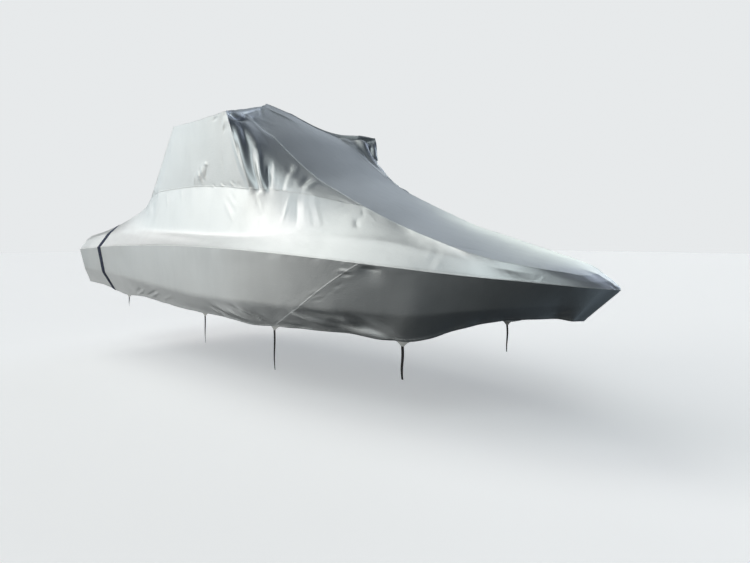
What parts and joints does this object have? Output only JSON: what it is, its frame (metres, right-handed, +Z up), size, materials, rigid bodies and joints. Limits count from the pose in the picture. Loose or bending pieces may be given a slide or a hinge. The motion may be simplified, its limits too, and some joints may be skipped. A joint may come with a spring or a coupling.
{
  "type": "boat cover",
  "caption": "Fitted silver-grey cloth cover for a tower boat, sewn from panels, with a peaked top, deep skirts, hem ties and a stern belt.",
  "frame": {"origin": "under the peak of the top, where the cloth rests on the tower of the boat inside it", "axes": "+X to the bow, +Y to port, +Z up"},
  "size_m": [7.1698, 2.5052, 2.8586],
  "materials": {
    "silver_cloth": "silver-grey coated polyester with a satin sheen",
    "tab_cloth": "pale grey reinforcing cloth",
    "black_webbing": "black woven webbing",
    "blue_webbing": "blue-grey woven webbing"
  },
  "bodies": {
    "root": {"bow_panel": "silver_cloth", "top_panel": "silver_cloth", "aft_panel": "silver_cloth", "transom_panel": "silver_cloth", "tower_panel_starboard": "silver_cloth", "tower_panel_port": "silver_cloth", "deck_panel_starboard": "silver_cloth", "deck_panel_port": "silver_cloth", "aft_skirt_starboard": "silver_cloth", "aft_skirt_port": "silver_cloth", "forward_skirt_starboard": "silver_cloth", "forward_skirt_port": "silver_cloth", "tab_1_starboard": "tab_cloth", "tab_2_starboard": "tab_cloth", "tab_3_starboard": "tab_cloth", "tab_4_starboard": "tab_cloth", "tab_1_port": "tab_cloth", "tab_2_port": "tab_cloth", "tab_3_port": "tab_cloth", "tab_4_port": "tab_cloth", "tie_strap_1_starboard": "black_webbing", "tie_strap_2_starboard": "black_webbing", "tie_strap_3_starboard": "black_webbing", "tie_strap_4_starboard": "black_webbing", "tie_strap_1_port": "black_webbing", "tie_strap_2_port": "black_webbing", "tie_strap_3_port": "black_webbing", "tie_strap_4_port": "black_webbing", "stern_belt": "blue_webbing"}
  },
  "joints": []
}
